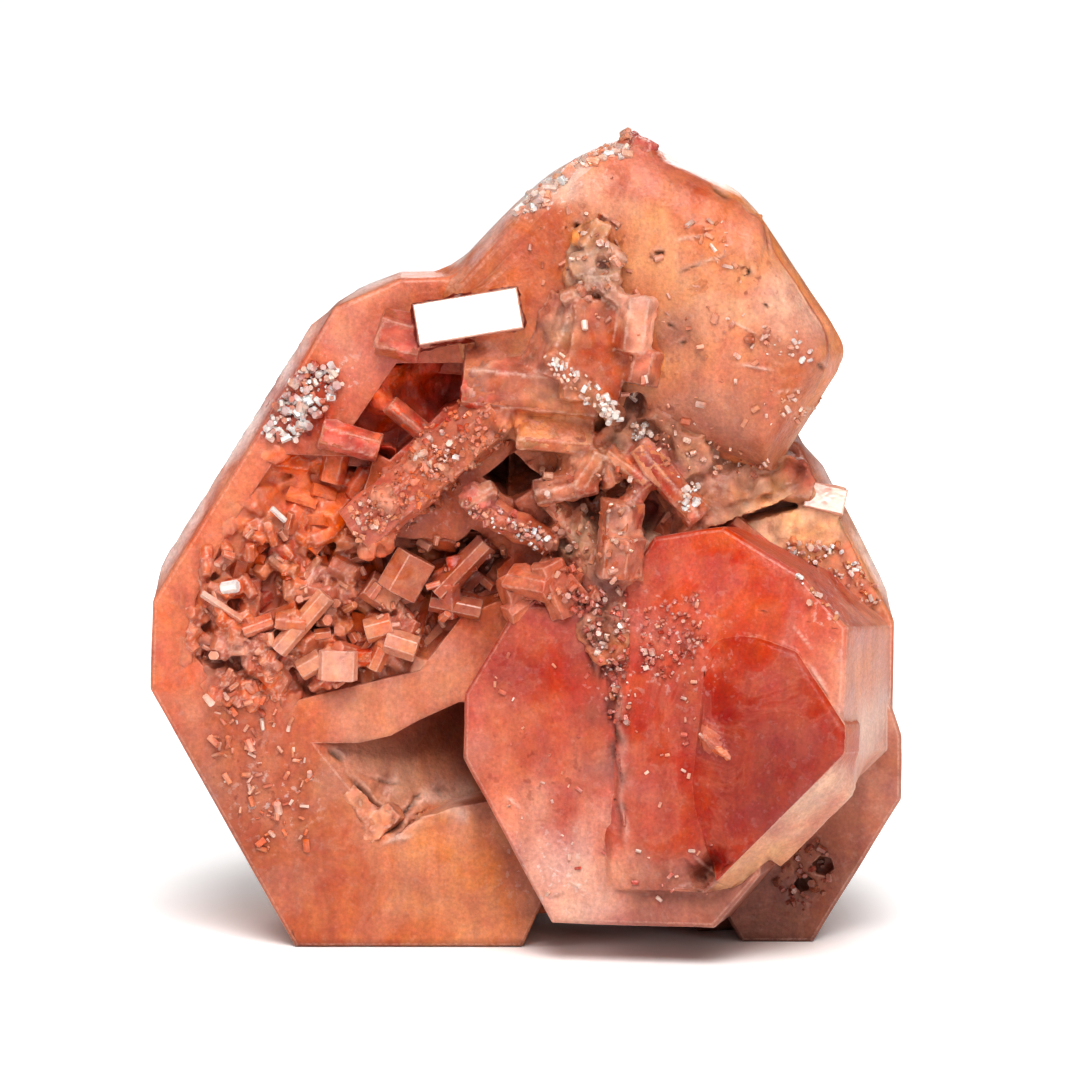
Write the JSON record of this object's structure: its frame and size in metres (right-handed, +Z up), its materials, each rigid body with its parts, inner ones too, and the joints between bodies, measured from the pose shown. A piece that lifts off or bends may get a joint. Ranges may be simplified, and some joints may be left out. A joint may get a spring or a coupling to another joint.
{
  "type": "vanadinite crystal cluster",
  "caption": "Upright cluster of intergrown six-sided vanadinite plates with a crystal-lined hollow; stands on its flat crystal sides as a display specimen.",
  "frame": {"origin": "middle of the base: the centre of the bounding box in X and Y, on the surface that the cluster stands on", "axes": "+Z up and the longest extent; -Y towards the open face of the plates; +X to the right seen from the front"},
  "size_m": [0.0232, 0.0141, 0.0253],
  "materials": {
    "crystal_body": "waxy to glassy crystal faces, salmon pink to brick red and orange-tan",
    "crust_crystals": "small glassy brick-red crystals"
  },
  "bodies": {
    "root": {"crystal_cluster": "crystal_body", "hollow_crystal_crust": "crust_crystals"}
  },
  "joints": []
}
